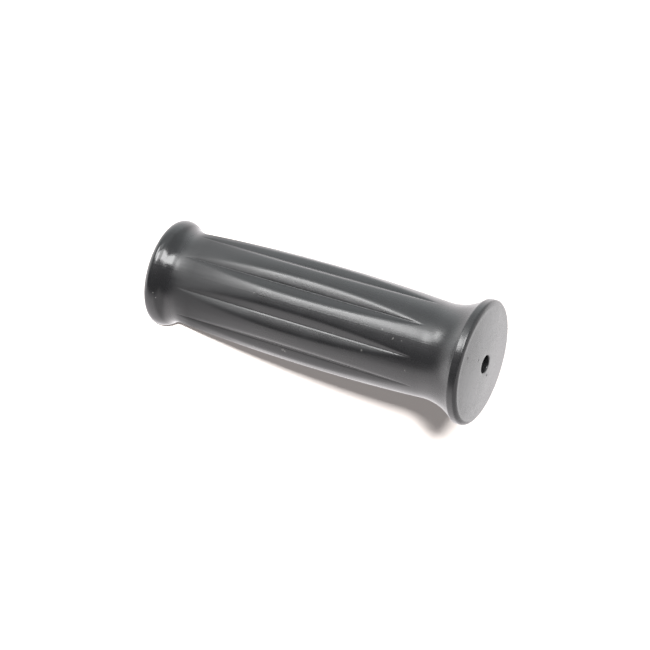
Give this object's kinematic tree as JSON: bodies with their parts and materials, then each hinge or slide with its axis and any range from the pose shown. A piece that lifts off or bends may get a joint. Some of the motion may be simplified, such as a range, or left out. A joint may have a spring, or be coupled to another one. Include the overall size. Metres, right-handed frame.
{
  "type": "handle grip",
  "caption": "Moulded rubber sleeve grip with lens-shaped flutes, a flared open mouth and a flanged closed end with a vent hole.",
  "frame": {"origin": "centre of the flat ring at the open mouth, on the bore's axis, where the grip stands", "axes": "+Z along the bore's axis, from the mouth to the closed end; the lobe with the mould's parting line faces -Y"},
  "size_m": [0.042, 0.042, 0.117],
  "materials": {
    "rubber": "semi-matt moulded rubber"
  },
  "bodies": {
    "root": {"grip": "rubber"}
  },
  "joints": []
}
